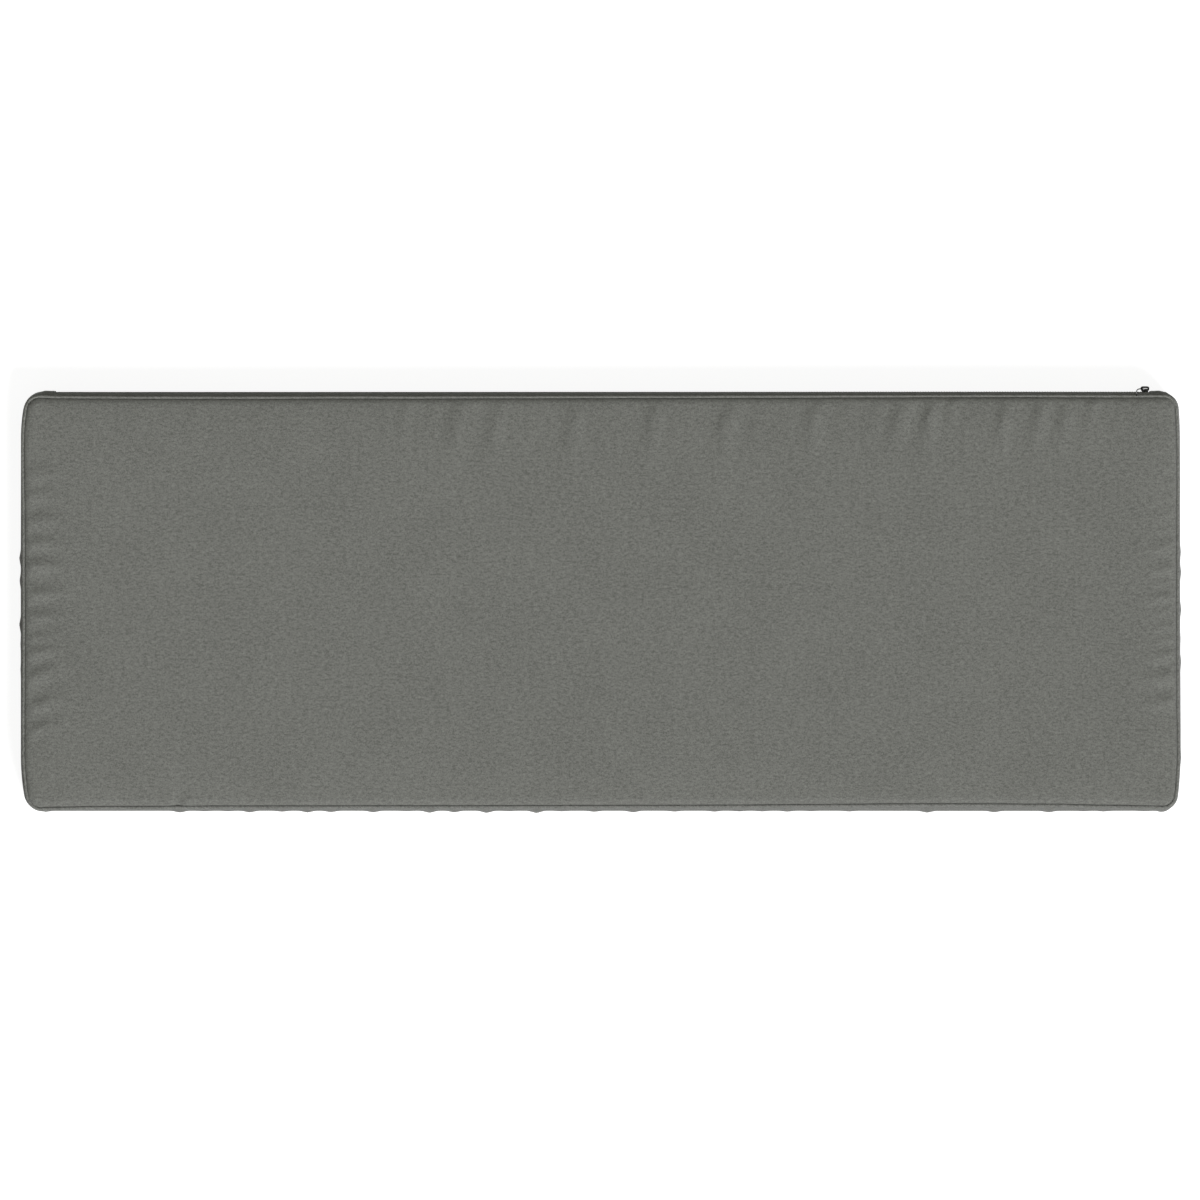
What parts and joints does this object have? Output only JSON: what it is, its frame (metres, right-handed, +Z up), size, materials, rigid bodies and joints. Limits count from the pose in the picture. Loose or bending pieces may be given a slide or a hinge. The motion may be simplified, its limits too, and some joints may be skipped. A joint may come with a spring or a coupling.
{
  "type": "bench cushion",
  "caption": "Long boxed bench cushion in grey melange cloth, with corded piping round both seams and a zip along the back side.",
  "frame": {"origin": "middle of the bounding box in plan, on the surface that the cushion's lower panel lies on", "axes": "+X along the cushion's length towards the end where the zip closes, +Y towards the zip side, +Z up through the thickness"},
  "size_m": [1.4035, 0.5156, 0.072],
  "materials": {
    "cloth": "matte grey melange weave",
    "piping": "the same weave, wrapped tight over a cord",
    "zip_tape": "matte dark herringbone tape",
    "zip_coil": "dark satin plastic coil",
    "slider": "dark satin metal"
  },
  "bodies": {
    "root": {"cushion_body": "cloth", "boxing_main": "cloth", "zip_strip_upper": "cloth", "zip_strip_lower": "cloth", "piping_upper": "piping", "piping_lower": "piping", "zip_tape_upper": "zip_tape", "zip_tape_lower": "zip_tape", "zip_chain": "zip_coil", "zip_slider": "slider", "zip_pull": "slider"}
  },
  "joints": []
}
